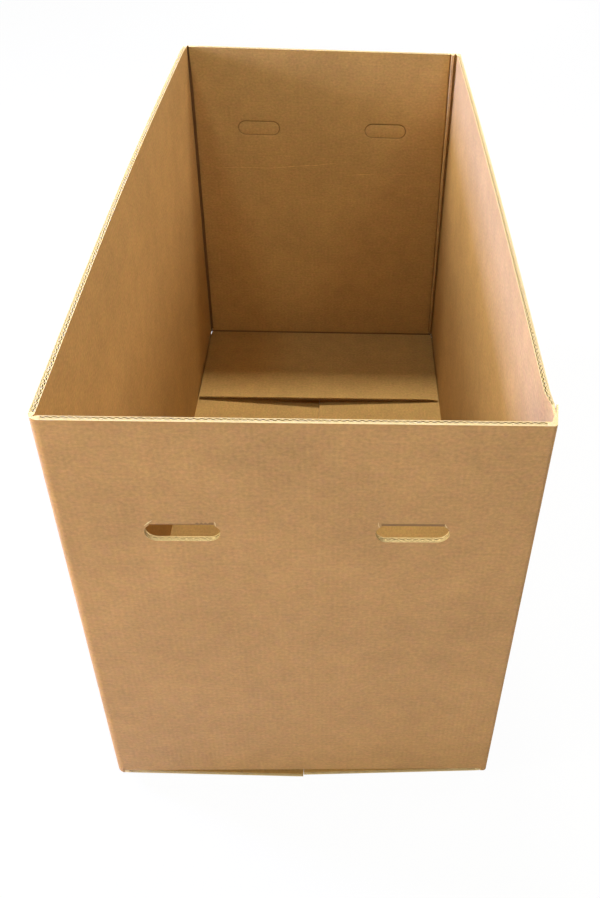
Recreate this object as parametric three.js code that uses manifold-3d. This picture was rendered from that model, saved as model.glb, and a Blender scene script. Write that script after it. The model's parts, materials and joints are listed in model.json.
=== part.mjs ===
// Open-topped moving box of double-wall corrugated board, with two hand holes in each end panel.
// Millimetres, +Z up. The end panel with the opened hand holes faces -Y. The origin is on the floor,
// under the middle of the box.

import * as THREE from 'three';
import { mergeVertices } from 'three/addons/utils/BufferGeometryUtils.js';
import Module from 'manifold-3d';

const wasm = await Module();
wasm.setup();

// Box and board
const boxLength = 1100;
const boxWidth = 550;
const panelHeight = 700;
const board = 7;
const boardClearance = 0.3;

// Bottom flaps
const longFlapSeam = 3;
const longFlapSetback = 4;
const leftSagDegrees = 3.3;
const rightSagDegrees = 2.2;
const endFlapDepth = 262;
const endFlapSideGap = 3;
const endFoldRadius = 8;
const slotWidth = 1;
const cornerSlot = 12;
const crushDepth = 2;
const crushLength = 9;

// Corner folds of the walls
const frontLeftFoldRadius = 12;
const plainFoldRadius = 5;
const creaseNotch = 3;
const creaseNotchWidth = 1.5;
const rearLeftGrooveWidth = 7;
const rearLeftGrooveDepth = 3;
const buckleWidth = 17;
const buckleRidge = 3;
const buckleGroove = 2.8;

// Glued lap outside the right wall, and the wall that is crushed under it
const lapLength = 35;
const lapThickness = 2.4;
const lapFlare = 6;
const lapGluedLength = 20;
const crushedWall = 3.9;
const crushedOffset = 4.6;
const crushedEase = 20;

// Bow of the long walls at the rim, and the bent rear end of the left one
const leftBow = 6;
const rightBow = 3.5;
const bowPower = 1.3;
const rearBendLength = 30;
const rearBendReach = 9;

// Hand holes
const handHoleWidth = 86;
const handHoleHeight = 28;
const handHoleSpacing = 263;
const handHoleDrop = 170;
const tabHingeWidth = 73;
const tabHingeRise = 4.6;
const tabFoldDegrees = 150;
const tabInnerRadius = 0.3;
const tabKerf = 0.6;
const tabPressed = 0.2;

// Fineness of round stretches and of the bowed walls
const wallSteps = 14;
const heightSteps = 8;
const foldSegments = 7;
const noseSegments = 8;
const handHoleSegments = 10;
const overlap = 1;

// Places worked out from the sizes
const halfLength = boxLength / 2;
const halfWidth = boxWidth / 2;
const innerY = halfLength - board;
const innerX = halfWidth - board;
const creaseRadius = board / 2;
const pivotX = halfWidth - creaseRadius;
const flapNearEdge = creaseRadius + boardClearance;
const longFlapReach = pivotX - longFlapSeam / 2;
const leftSag = THREE.MathUtils.degToRad(leftSagDegrees);
const rightSag = THREE.MathUtils.degToRad(rightSagDegrees);
const deepestSag = Math.max(leftSag, rightSag);
const pivotZ = longFlapReach * Math.sin(deepestSag) + creaseRadius * Math.cos(deepestSag);
const panelBottom = pivotZ + creaseRadius + boardClearance;
const rimZ = panelBottom + panelHeight;
const endFlapHalfWidth = innerX - endFlapSideGap;
const rearBendStart = halfLength - rearBendLength;
const handHoleZ = rimZ - handHoleDrop;
const handHoleTop = handHoleZ + handHoleHeight / 2;
const tabFold = THREE.MathUtils.degToRad(tabFoldDegrees);

const kraft = 0xb98e5c;

// Turns a closed geometry into a solid for cutting and joining.
function solid(geometry) {
  const bare = geometry.index ? geometry.toNonIndexed() : geometry.clone();
  bare.deleteAttribute('normal');
  bare.deleteAttribute('uv');
  const merged = mergeVertices(bare, 1e-4);
  return new wasm.Manifold(new wasm.Mesh({
    numProp: 3,
    vertProperties: new Float32Array(merged.attributes.position.array),
    triVerts: new Uint32Array(merged.index.array),
  }));
}

// Turns a solid back into a geometry.
function geometryOf(body) {
  const mesh = body.getMesh();
  const geometry = new THREE.BufferGeometry();
  geometry.setAttribute('position', new THREE.BufferAttribute(mesh.vertProperties, 3));
  geometry.setIndex(new THREE.BufferAttribute(mesh.triVerts, 1));
  geometry.computeVertexNormals();
  return geometry;
}

// A box between two corners.
function block(low, high) {
  const size = high.map((value, axis) => value - low[axis]);
  const geometry = new THREE.BoxGeometry(...size);
  geometry.translate(...low.map((value, axis) => value + size[axis] / 2));
  return geometry;
}

function shapeOf(points) {
  return new THREE.Shape(points.map(([x, y]) => new THREE.Vector2(x, y)));
}

// Points of an arc about a centre, from one angle to another in degrees.
function arc(centre, radius, from, to, segments = foldSegments) {
  const points = [];
  for (let i = 0; i <= segments; i += 1) {
    const angle = THREE.MathUtils.degToRad(from + (to - from) * i / segments);
    points.push([centre[0] + radius * Math.cos(angle), centre[1] + radius * Math.sin(angle)]);
  }
  return points;
}

// Points along a straight wall at one x, without its two ends.
function wallPoints(x, from, to) {
  const points = [];
  for (let i = 1; i < wallSteps; i += 1) {
    points.push([x, from + (to - from) * i / wallSteps]);
  }
  return points;
}

// A profile drawn in Y and Z, drawn out along X over a width about the middle.
function alongX(profile, width) {
  const geometry = new THREE.ExtrudeGeometry(shapeOf(profile), { depth: width, bevelEnabled: false });
  geometry.translate(0, 0, -width / 2);
  const yAxis = new THREE.Vector3(0, 1, 0);
  const zAxis = new THREE.Vector3(0, 0, 1);
  const xAxis = new THREE.Vector3(1, 0, 0);
  geometry.applyMatrix4(new THREE.Matrix4().makeBasis(yAxis, zAxis, xAxis));
  return geometry;
}

// A profile drawn in Z and X, drawn out along Y over a length about the middle.
function alongY(profile, length) {
  const geometry = new THREE.ExtrudeGeometry(shapeOf(profile), { depth: length, bevelEnabled: false });
  geometry.translate(0, 0, -length / 2);
  const zAxis = new THREE.Vector3(0, 0, 1);
  const xAxis = new THREE.Vector3(1, 0, 0);
  const yAxis = new THREE.Vector3(0, 1, 0);
  geometry.applyMatrix4(new THREE.Matrix4().makeBasis(zAxis, xAxis, yAxis));
  return geometry;
}

// Outside of the walls, seen from above, anticlockwise from the front left fold. At the front right
// fold the front panel's board turns the corner and runs back outside the right wall, as the glued
// lap, whose free end stands off the wall.
function outerOutline() {
  const lapEnd = lapLength - halfLength;
  const lapRoot = lapGluedLength - halfLength;
  const crushedOuter = innerX + crushedOffset + crushedWall;
  const rearRight = [halfWidth - plainFoldRadius, halfLength - plainFoldRadius];
  const rearLeft = [plainFoldRadius - halfWidth, halfLength - plainFoldRadius];
  const frontLeft = [frontLeftFoldRadius - halfWidth, frontLeftFoldRadius - halfLength];
  const frontRight = [halfWidth - plainFoldRadius, plainFoldRadius - halfLength];
  return [
    ...arc(frontLeft, frontLeftFoldRadius, 180, 270),
    ...arc(frontRight, plainFoldRadius, 270, 360),
    [halfWidth + lapFlare, lapEnd],
    [halfWidth + lapFlare - lapThickness, lapEnd],
    [crushedOuter - 1, lapRoot],
    [crushedOuter, lapEnd],
    ...wallPoints(halfWidth, lapEnd + crushedEase, rearRight[1]),
    ...arc(rearRight, plainFoldRadius, 0, 90),
    ...arc(rearLeft, plainFoldRadius, 90, 180),
    [-halfWidth, rearBendStart],
    ...wallPoints(-halfWidth, rearBendStart, frontLeft[1]),
  ];
}

// Inside of the walls, anticlockwise from the front left crease, with its slit, the crushed wall
// behind the lap, the buckled liner at the rear right and the groove at the rear left.
function innerOutline() {
  const lapEnd = lapLength - halfLength;
  const crushedInner = innerX + crushedOffset;
  const buckleStart = innerX - buckleWidth;
  return [
    [-innerX - creaseNotch, -innerY - creaseNotchWidth],
    [-innerX + creaseNotchWidth, -innerY],
    [innerX + 1, -innerY],
    [crushedInner, -innerY + crushedOffset * 2],
    [crushedInner, lapEnd],
    ...wallPoints(innerX, lapEnd + crushedEase, innerY),
    [innerX, innerY - creaseNotch],
    [innerX - creaseNotchWidth, innerY + buckleGroove],
    [buckleStart + buckleWidth / 2, innerY - buckleRidge],
    [buckleStart + buckleWidth / 5, innerY + buckleGroove],
    [buckleStart, innerY],
    [-innerX + rearLeftGrooveWidth + creaseNotchWidth, innerY],
    [-innerX + rearLeftGrooveWidth, innerY + rearLeftGrooveDepth],
    [-innerX, innerY + rearLeftGrooveDepth],
    [-innerX, rearBendStart],
    ...wallPoints(-innerX, rearBendStart, creaseNotchWidth - innerY),
    [-innerX, creaseNotchWidth - innerY],
  ];
}

// Sideways shift of a point of the long walls: they bow outwards towards the rim, and the rear end
// of the left one is bent in.
function wallShift(x, y, z) {
  const rise = Math.max(0, (z - panelBottom) / panelHeight) ** bowPower;
  const arch = Math.max(0, Math.cos(Math.PI * y / boxLength));
  if (x > halfWidth - 2 * board) {
    return rightBow * rise * arch;
  }
  if (x < 2 * board - halfWidth) {
    const bend = Math.max(0, (y - rearBendStart) / rearBendLength);
    return rise * (rearBendReach * bend - leftBow * arch);
  }
  return 0;
}

// The four walls as one closed ring of board, from the end panels' bottom fold up to the rim.
function wallRing() {
  const shape = shapeOf(outerOutline());
  shape.holes.push(new THREE.Path(innerOutline().map(([x, y]) => new THREE.Vector2(x, y))));
  const ring = new THREE.ExtrudeGeometry(shape, {
    depth: panelHeight, steps: heightSteps, bevelEnabled: false,
  });
  ring.translate(0, 0, panelBottom);
  const place = ring.attributes.position;
  for (let i = 0; i < place.count; i += 1) {
    const x = place.getX(i);
    place.setX(i, x + wallShift(x, place.getY(i), place.getZ(i)));
  }
  return solid(ring);
}

// The lower edge of a long wall: its crease is the rounded nose that the long flap turns about.
function wallNose(side) {
  const profile = [
    [panelBottom, side * pivotX - creaseRadius],
    [panelBottom, side * pivotX + creaseRadius],
    ...arc([pivotZ, side * pivotX], creaseRadius, 90, 270, noseSegments),
  ];
  return solid(alongY(profile, boxLength - 2 * cornerSlot));
}

// An end flap with its fold under the front panel, folded in flat.
function endFlapProfile() {
  const foldCentre = [endFoldRadius - halfLength, panelBottom + endFoldRadius];
  const flapTop = panelBottom + board;
  return [
    [-innerY, foldCentre[1] + overlap],
    [-halfLength, foldCentre[1] + overlap],
    ...arc(foldCentre, endFoldRadius, 180, 270),
    [endFlapDepth - halfLength, panelBottom],
    [endFlapDepth - halfLength, flapTop],
    [crushLength - innerY, flapTop],
    [boardClearance - innerY, flapTop - crushDepth],
    [-innerY, foldCentre[1]],
  ];
}

// The hand hole as cut: a slot with round ends, larger or smaller by an offset.
function handHoleShape(offset) {
  const radius = handHoleHeight / 2 + offset;
  const reach = (handHoleWidth - handHoleHeight) / 2;
  return [
    ...arc([reach, 0], radius, -90, 90, handHoleSegments),
    ...arc([-reach, 0], radius, 90, 270, handHoleSegments),
  ];
}

// A prism of the hand hole through an end panel, centred at one x and the hand holes' height.
function handHolePrism(x, panelY, offset) {
  const depth = board + 2 * overlap;
  const prism = new THREE.ExtrudeGeometry(shapeOf(handHoleShape(offset)), { depth, bevelEnabled: false });
  prism.translate(0, 0, -depth / 2);
  prism.rotateX(Math.PI / 2);
  prism.translate(x, panelY, handHoleZ);
  return solid(prism);
}

// The front hand hole with the room above it that its folded tab leaves.
function openHandHole(x) {
  const hingeZ = handHoleTop + tabHingeRise;
  const room = block(
    [x - tabHingeWidth / 2, -halfLength - overlap, handHoleZ],
    [x + tabHingeWidth / 2, -innerY + overlap, hingeZ],
  );
  return handHolePrism(x, -(halfLength + innerY) / 2, 0).add(solid(room));
}

// The roll of board above a front hand hole, where its tab turns inwards and up.
function tabRoll(x) {
  const centre = [tabInnerRadius - innerY, handHoleTop + tabHingeRise];
  const outer = tabInnerRadius + board;
  const profile = [
    [-innerY, centre[1] + overlap],
    [-halfLength, centre[1] + overlap],
    ...arc(centre, outer, 180, 180 + tabFoldDegrees),
    ...arc(centre, tabInnerRadius, 180 + tabFoldDegrees, 180, foldSegments - 4),
  ];
  const roll = alongX(profile, tabHingeWidth);
  roll.translate(x, 0, 0);
  return solid(roll);
}

// The flat end of a front tab, standing up behind the panel at the end of its roll. It is pressed a
// little thinner than the roll.
function tabPlate(x) {
  const rollLength = (tabInnerRadius + board / 2) * tabFold;
  const tabLength = handHoleHeight + tabHingeRise;
  const plate = new THREE.ExtrudeGeometry(shapeOf(handHoleShape(-tabKerf)), {
    depth: board - 2 * tabPressed, bevelEnabled: false,
  });
  const start = rollLength - tabLength + handHoleHeight / 2;
  const half = solid(plate).intersect(solid(block(
    [-handHoleWidth, start - overlap / 2, -overlap],
    [handHoleWidth, handHoleHeight, board + overlap],
  )));
  const flat = geometryOf(half);
  flat.translate(0, -start, 0);
  const along = new THREE.Vector3(0, Math.sin(tabFold), -Math.cos(tabFold));
  const outward = new THREE.Vector3(0, -Math.cos(tabFold), -Math.sin(tabFold));
  const xAxis = new THREE.Vector3(1, 0, 0);
  flat.applyMatrix4(new THREE.Matrix4().makeBasis(xAxis, along, outward.clone().negate()));
  const reach = tabInnerRadius + board - tabPressed;
  flat.translate(
    x,
    tabInnerRadius - innerY + reach * outward.y,
    handHoleTop + tabHingeRise + reach * outward.z,
  );
  return solid(flat);
}

// The die-cut line around a rear tab that is still in its hole: open at the sides and below.
function tabCut(x) {
  const panelY = (halfLength + innerY) / 2;
  const hingeHalf = (tabHingeWidth - handHoleWidth + handHoleHeight) / 2;
  const hingeRise = Math.sqrt((handHoleHeight / 2) ** 2 - hingeHalf ** 2);
  const ring = handHolePrism(x, panelY, 0).subtract(handHolePrism(x, panelY, -tabKerf));
  return ring.subtract(solid(block(
    [x - handHoleWidth, innerY - 2 * overlap, handHoleZ + hingeRise],
    [x + handHoleWidth, halfLength + 2 * overlap, rimZ],
  )));
}

// Walls, end flaps, glued lap and hand hole tabs: one folded sheet.
function cartonBody() {
  const foldGap = endFlapHalfWidth + slotWidth;
  const foldRoom = block(
    [-foldGap, -halfLength - overlap, panelBottom - overlap],
    [foldGap, -innerY + overlap, panelBottom + endFoldRadius],
  );
  const frontFlap = alongX(endFlapProfile(), 2 * endFlapHalfWidth);
  let body = wallRing();
  for (const turn of [0, Math.PI]) {
    body = body.subtract(solid(foldRoom.clone().rotateZ(turn)));
    body = body.add(solid(frontFlap.clone().rotateZ(turn)));
  }
  for (const side of [-1, 1]) {
    const x = side * handHoleSpacing / 2;
    body = body.add(wallNose(side));
    body = body.subtract(openHandHole(x)).add(tabRoll(x)).add(tabPlate(x));
    body = body.subtract(tabCut(x));
  }
  return geometryOf(body);
}

// A long bottom flap, drawn closed and flat, from its crease to the seam in the middle. The board is
// crushed thinner beside the crease.
function longFlap(side) {
  const crushed = creaseRadius - crushDepth / 2;
  const edge = flapNearEdge + crushLength;
  const profile = [
    [-crushed, flapNearEdge],
    [-creaseRadius, edge],
    [-creaseRadius, longFlapReach],
    [creaseRadius, longFlapReach],
    [creaseRadius, edge],
    [crushed, flapNearEdge],
  ];
  const flap = alongY(profile.reverse(), boxLength - 2 * longFlapSetback);
  if (side > 0) {
    flap.rotateZ(Math.PI);
  }
  return flap;
}

function named(name, geometry) {
  const material = new THREE.MeshStandardMaterial({ color: kraft, roughness: 0.9, metalness: 0 });
  const mesh = new THREE.Mesh(geometry, material);
  mesh.name = name;
  return mesh;
}

const box = new THREE.Group();
box.name = 'moving_box';
box.add(named('carton_body', cartonBody()));

// The two long flaps hang a little open, each from the crease of its own wall.
const leftFlap = named('bottom_flap_left', longFlap(-1));
leftFlap.position.set(-pivotX, 0, pivotZ);
leftFlap.rotation.y = leftSag;
box.add(leftFlap);

const rightFlap = named('bottom_flap_right', longFlap(1));
rightFlap.position.set(pivotX, 0, pivotZ);
rightFlap.rotation.y = -rightSag;
box.add(rightFlap);

export default box;
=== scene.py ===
"""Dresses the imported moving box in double-wall kraft board: liners, cut edges with their flutes,
hand holes, folded flaps and creases, and sets a plain studio round it. Metres, +Z up."""

import json
import math

import bmesh
import bpy
from bpy.props import FloatProperty, FloatVectorProperty, PointerProperty
from mathutils import Matrix, Vector, noise
from mathutils.geometry import delaunay_2d_cdt


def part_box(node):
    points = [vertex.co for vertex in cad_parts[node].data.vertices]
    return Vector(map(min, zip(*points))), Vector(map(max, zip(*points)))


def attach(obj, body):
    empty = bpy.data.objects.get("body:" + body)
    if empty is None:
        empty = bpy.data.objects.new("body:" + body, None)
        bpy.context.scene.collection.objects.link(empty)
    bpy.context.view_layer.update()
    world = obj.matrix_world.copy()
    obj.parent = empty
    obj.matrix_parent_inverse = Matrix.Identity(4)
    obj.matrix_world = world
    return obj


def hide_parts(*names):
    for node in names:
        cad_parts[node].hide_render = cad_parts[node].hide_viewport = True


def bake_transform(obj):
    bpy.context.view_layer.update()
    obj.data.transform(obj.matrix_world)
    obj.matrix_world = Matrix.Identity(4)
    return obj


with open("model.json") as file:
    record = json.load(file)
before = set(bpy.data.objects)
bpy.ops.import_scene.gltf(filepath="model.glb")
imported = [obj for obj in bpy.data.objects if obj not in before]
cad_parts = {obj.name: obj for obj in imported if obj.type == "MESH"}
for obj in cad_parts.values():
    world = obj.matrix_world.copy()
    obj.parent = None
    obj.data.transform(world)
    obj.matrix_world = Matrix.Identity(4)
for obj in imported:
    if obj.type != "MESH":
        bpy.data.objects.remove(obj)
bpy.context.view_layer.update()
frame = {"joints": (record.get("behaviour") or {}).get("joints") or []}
WALL_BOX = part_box("carton_body")
JOINTS = {joint["name"]: joint for joint in frame["joints"]}

bl_info = {
    "name": "Kraft Moving Box",
    "version": (1, 0, 0),
    "blender": (4, 5, 0),
    "location": "View3D > Sidebar > Moving Box",
    "description": "Builds an open double-wall moving box with hand holes round its packed solids",
    "category": "Object",
}

# Kinds of surface, which are also the places of the finishes in each piece
# The fluted paper's kind also serves as painted shade in the rear left groove, the end folds' creases, the
# end flaps' edges, the rear die-cuts and the front tabs' roll
OUTER, INNER, CUT, FLUTE_AND_SHADE, WORN = range(5)

# Where the flats of the end panels stop, beside the corner folds
FRONT_LEFT_X = -0.262
FRONT_RIGHT_X = 0.264
REAR_LEFT_X = -0.250
REAR_RIGHT_X = 0.251

# Folds, slots and creases
FRONT_LEFT_FOLD = 0.012
PLAIN_FOLD = 0.005
END_FOLD = 0.008
SLOT_X = 0.266
CORNER_SLOT = 0.012
CRUSH_DEPTH = 0.002
CRUSH_LENGTH = 0.009
HINGE_GAP = 0.0038
FLAP_END_GAP = 0.004
FLAP_SEAM_GAP = 0.0001
END_FLAP_HALF = 0.265
END_FLAP_LIFT = 0.0004
LINER_LIFT = 0.00014
SLIT_END_X = -0.2658
FLAP_CLEARANCE = 0.0003
FOLD_RISE = 0.002
FOLD_STEP = 0.0002

# Groove along the rear left corner
GROOVE_WIDTH = 0.0022
GROOVE_WIDENING = 0.0028
GROOVE_RUN = 0.09

# Bent free corner of the rear end flap
DIP = 0.0038
DIP_START_X = 0.228
DIP_START_V = 0.19
DIP_WIDTH = 0.037

# Glued lap
LAP_LENGTH = 0.035
LAP_THICKNESS = 0.0024
LAP_FLARE = 0.006
LAP_LEAST_FLARE = 0.0012
LAP_STAND = 0.0028
LAP_GLUED = 0.020
CRUSHED_WALL = 0.0039
CRUSHED_OFFSET = 0.0046
CRUSHED_EASE = 0.020

# Bow of the long walls
BOW_POWER = 1.3
REAR_BEND_LENGTH = 0.030
REAR_BEND_REACH = 0.003

# Hand hole tabs
TAB_HINGE_HALF = 0.0365
TAB_HINGE_RISE = 0.0034
TAB_FOLD = math.radians(150)
TAB_INNER_RADIUS = 0.0030
TAB_KERF = 0.0006
# Painted shade on the front tabs' outer face where they roll under: where it starts, where it starts at the
# left end, where it stops, and where and over what run its start moves
TAB_SHADE = (0.0002, 0.0030, 0.0110)
TAB_SHADE_START = -0.17
TAB_SHADE_RUN = 0.08
REAR_KERF = 0.0013
REAR_BEVEL = (0.0022, 0.0003)
REAR_BEVEL_DEPTHS = (0.0008, 0.0013)
REAR_TAB_BEVEL = (0.0003, 0.0020)
REAR_TAB_DEPTHS = (0.0009, 0.0004)
REAR_CUT_DEPTH = 0.0022
REAR_HINGE_DEPTH = 0.0034
REAR_HINGE_BAND = 0.003
REAR_TAB_RISE = 0.003
REAR_TAB_TALLER = 0.003

# Cut edges: how deep the channels go under the outer and the inner liner, and where the papers lie
RIM_DEPTHS = (0.0022, 0.022)
FRONT_RIM_DEPTHS = (0.0004, 0.012)
EDGE_DEPTHS = (0.0050, 0.0085)
HOLE_DEPTHS = (0.0009, 0.0011)
FLAP_DEPTHS = (0.0005, 0.0018)
EDGE_PAPERS_START = 0.0025
RIM_PAPERS_DROP = 0.0002
PAPERS_SHORT = 0.0004

# Fineness
WALL_STEPS = 30
ARC_STEPS = 8
WAVE_STEPS = 10
PANEL_STEP = 0.024
REAR_PANEL_STEP = 0.016
REAR_TAB_STEP = 0.012
TAB_STEP = 0.0016
RIBBON_HEIGHT = 0.0003
WELD = 0.00002
SKIN_SCALE = 1000.0
CLEAR_OF_HOLES = 0.4
CLEAR_OF_LOOP = 0.3
SHARP_ANGLE = math.radians(32)

# Paper: the tint of its warmer blotches and the depth of its relief
WARM_TINT = (1.06, 0.94, 1.08)
RELIEF = 0.0006

# Floor: its size, and the margins within which the box's contact shadow shows
FLOOR_REACH = 12.0
SHADOW_SIDE = 0.012
SHADOW_END = 0.030
SHADOW_SHARPNESS = 500.0
FLOOR_WHITE = 0.97

# Lamps: name, place, the point that it faces, size and colour
LAMPS = (
    ("left", (-2.3, 0.5, 1.7), (0.2, 0.0, 0.6), 0.9, (1.0, 0.96, 0.94)),
    ("left_high", (-2.3, 0.5, 2.6), (0.2, 0.0, 0.4), 0.9, (1.0, 1.0, 1.0)),
    ("right", (2.2, 0.6, 2.0), (-0.2, 0.0, 0.5), 1.0, (1.0, 0.89, 0.86)),
    ("rear", (0.0, 1.2, 3.0), (0.0, 0.0, 0.2), 0.3, (1.0, 0.99, 0.84)),
    ("front", (0.3, -3.4, 1.9), (0.0, -0.2, 0.4), 2.0, (0.80, 0.82, 0.94)),
    ("window", (-2.3, 0.4, 1.15), (0.2, 0.0, 0.6), 0.5, (0.09, 0.20, 1.0)),
    ("front_left", (-2.3, -1.2, 1.0), (-0.2, -0.4, 0.5), 0.8, (1.0, 0.90, 0.58)),
    ("front_right", (1.1, -2.0, 2.3), (0.0, 0.3, 0.4), 0.35, (0.95, 1.0, 0.67)),
    ("high_left", (-0.75, -0.8, 2.6), (0.0, 0.3, 0.4), 0.35, (0.80, 1.0, 0.95)),
    ("back", (0.4, 3.6, 0.9), (0.0, 0.5, 0.4), 1.6, (1.0, 1.0, 1.0)),
)

# Camera, as found from the photograph's perspective
CAMERA_PLACE = (0.04493, -1.25842, 1.36586)
CAMERA_TURNS = (("Z", -0.059), ("X", -0.651), ("Y", -0.052))
CAMERA_LENS = 36.85
CAMERA_SHIFT = (-0.0931, -0.1149)


def size_property(name, default, low, high, description):
    """A length that a user can change."""
    return FloatProperty(name=name, description=description, default=default, min=low, max=high,
                         unit="LENGTH")


def paper_property(name, default, description):
    """A paper's colour that a user can change."""
    return FloatVectorProperty(name=name, description=description, default=default, subtype="COLOR",
                               size=3, min=0, max=1)


def lamp_property(name, default, description):
    """A lamp's power that a user can change."""
    return FloatProperty(name=name, description=description, default=default, min=0, max=2000, unit="POWER")


class BoxSizes(bpy.types.PropertyGroup):
    """Sizes of the folded box"""
    length: size_property("Length", 1.1, 0.8, 1.4, "Outside length of the box")
    width: size_property("Width", 0.55, 0.4, 0.8, "Outside width of the box")
    flap_depth: size_property("End flap depth", 0.252, 0.1, 0.4, "From the end panel to the flap's edge")
    left_bow: size_property("Left bow", 0.006, 0.0, 0.02, "How far the left rim bows out")
    right_bow: size_property("Right bow", 0.0035, 0.0, 0.02, "How far the right rim bows out")
    hole_width: size_property("Hand hole width", 0.086, 0.06, 0.12, "Width of each hand hole")
    hole_height: size_property("Hand hole height", 0.028, 0.02, 0.05, "Height of each hand hole")
    hole_spacing: size_property("Hand hole spacing", 0.263, 0.15, 0.35, "Between the middles of two holes")
    hole_drop: size_property("Hand hole drop", 0.170, 0.08, 0.3, "From the rim to the middle of a hole")


class BoardMakeup(bpy.types.PropertyGroup):
    """Layers of the double-wall board"""
    thickness: size_property("Board", 0.007, 0.004, 0.01, "Whole thickness of the board")
    liner: size_property("Liner edge", 0.0010, 0.0002, 0.0015, "Width of a liner's frayed edge")
    medium: size_property("Medium edge", 0.0009, 0.0001, 0.0015, "Width of the fluted paper's frayed edge")
    middle: size_property("Middle liner", 0.0031, 0.002, 0.005, "Height of the middle liner in the board")
    outer_pitch: size_property("Outer pitch", 0.0062, 0.003, 0.01, "Flute pitch under the outer liner")
    inner_pitch: size_property("Inner pitch", 0.0079, 0.003, 0.01, "Flute pitch under the inner liner")


class BoardColours(bpy.types.PropertyGroup):
    """Colours of the papers"""
    outer: paper_property("Outer liner", (0.480, 0.268, 0.098), "Kraft paper outside")
    inner: paper_property("Inner liner", (0.490, 0.300, 0.100), "Kraft paper inside")
    fibre: paper_property("Fibres", (0.235, 0.115, 0.042), "Dark fibres in the paper")
    cut: paper_property("Cut edge", (0.770, 0.585, 0.300), "Freshly cut paper edges")
    # This colour is also the painted shade wherever the fluted finish is laid in grooves, creases and edges
    flute: paper_property("Flutes", (0.270, 0.150, 0.058), "Fluted paper inside the board")


class StudioLight(bpy.types.PropertyGroup):
    """Levels of the studio's lights"""
    room: FloatProperty(name="Room", description="Even light from all round", default=0.02, min=0, max=3)
    left: lamp_property("Left", 56.0, "Lamp on the left")
    left_high: lamp_property("Left high", 28.0, "Higher lamp on the left")
    right: lamp_property("Right", 34.0, "Soft lamp on the right")
    rear: lamp_property("High rear", 61.0, "Small lamp high behind the box")
    front: lamp_property("Front", 31.0, "Soft lamp behind the camera")
    window: lamp_property("Window", 150.0, "Cool lamp low on the left")
    front_left: lamp_property("Front left", 46.0, "Warm lamp low in front on the left")
    front_right: lamp_property("Front right", 9.0, "Small warm lamp in front on the right")
    high_left: lamp_property("High left", 10.5, "Small lamp high on the left")
    back: lamp_property("Back", 30.0, "Low lamp on the back of the box")


class Layout:
    """Places worked out from the sizes."""

    def __init__(self, sizes, makeup):
        self.sizes = sizes
        self.board = makeup.thickness
        self.makeup = makeup
        self.half_length = sizes.length / 2
        self.half_width = sizes.width / 2
        self.inner_y = self.half_length - self.board
        self.inner_x = self.half_width - self.board
        self.crease = self.board / 2
        # Long flaps: name, side, pivot, and the angle by which each hangs open
        self.folds = []
        for name, side in (("left", -1), ("right", 1)):
            joint = JOINTS[f"{name}_flap_fold"]
            self.folds.append((name, side, Vector(joint["pos_m"]), -math.radians(joint["range_deg"][0])))
        self.bottom = self.folds[0][2].z + self.crease + FLAP_CLEARANCE
        self.fold_top = self.bottom + END_FOLD + FOLD_RISE
        self.rim = WALL_BOX[1].z
        self.nose_y = self.half_length - CORNER_SLOT
        self.hole_z = self.rim - sizes.hole_drop
        self.hole_middles = (-sizes.hole_spacing / 2, sizes.hole_spacing / 2)
        self.hinge_z = self.hole_z + sizes.hole_height / 2 + TAB_HINGE_RISE
        self.lap_end = LAP_LENGTH - self.half_length
        self.wall_start = self.lap_end + CRUSHED_EASE
        self.bend_start = self.half_length - REAR_BEND_LENGTH
        self.levels = spaced(self.fold_top, self.rim, WALL_STEPS)
        self.corner_levels = [self.bottom, self.fold_top - FOLD_STEP] + self.levels
        self.left_ys = spaced(-self.nose_y, self.bend_start, WALL_STEPS) + [self.nose_y]
        self.right_ys = [self.lap_end, self.lap_end + 0.007, self.lap_end + 0.014]
        self.right_ys += spaced(self.wall_start, self.nose_y, WALL_STEPS)
        self.front_xs = spaced(FRONT_LEFT_X, FRONT_RIGHT_X, 26)
        self.rear_xs = spaced(REAR_LEFT_X, REAR_RIGHT_X, 26)

    def shift(self, x, y, z):
        """Sideways shift of a point of the long walls: their bow, and the bent rear end of the left one."""
        rise = max(0.0, (z - self.bottom) / (self.rim - self.bottom)) ** BOW_POWER
        arch = max(0.0, math.cos(math.pi * y / self.sizes.length))
        if x > self.half_width - 2 * self.board:
            return self.sizes.right_bow * rise * arch
        if x < 2 * self.board - self.half_width:
            bend = max(0.0, (y - self.bend_start) / REAR_BEND_LENGTH)
            return rise * (REAR_BEND_REACH * bend - self.sizes.left_bow * arch)
        return 0.0

    # Where a point of each wall lies: u along the wall, v its height, t its depth from the outer face
    def front(self, u, v, t):
        return (u, t - self.half_length, v)

    def rear(self, u, v, t):
        return (u, self.half_length - t, v)

    def left(self, u, v, t):
        x = t - self.half_width
        return (x + self.shift(-self.half_width, u, v), u, v)

    def right(self, u, v, t):
        ease = min(1.0, max(0.0, (self.wall_start - u) / CRUSHED_EASE))
        outer = self.half_width + ease * (CRUSHED_OFFSET + CRUSHED_WALL - self.board)
        inner = self.inner_x + ease * CRUSHED_OFFSET
        x = outer + (inner - outer) * t / self.board
        return (x + self.shift(self.half_width, u, v), u, v)


def spaced(low, high, steps):
    """Values from low to high in even steps, both ends included."""
    return [low + (high - low) * i / steps for i in range(steps + 1)]


def wander(value, seed, scale):
    """A smooth irregular value between about -1 and 1."""
    return noise.noise(Vector((value / scale, seed * 7.31, 0.5)))


def arc(centre, radius, start, stop, steps=ARC_STEPS):
    """Points of an arc between two angles in degrees."""
    points = []
    for angle in spaced(math.radians(start), math.radians(stop), steps):
        points.append((centre[0] + radius * math.cos(angle), centre[1] + radius * math.sin(angle)))
    return points


def within(point, loop):
    """True if a flat point lies inside a closed loop."""
    x, y = point
    inside = False
    for (ax, ay), (bx, by) in zip(loop, loop[1:] + loop[:1]):
        if (ay > y) != (by > y) and x < (bx - ax) * (y - ay) / (by - ay) + ax:
            inside = not inside
    return inside


def near(point, loop, reach):
    """True if a flat point is closer to a loop's corners than reach."""
    return any(math.dist(point, corner) < reach for corner in loop)


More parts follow.
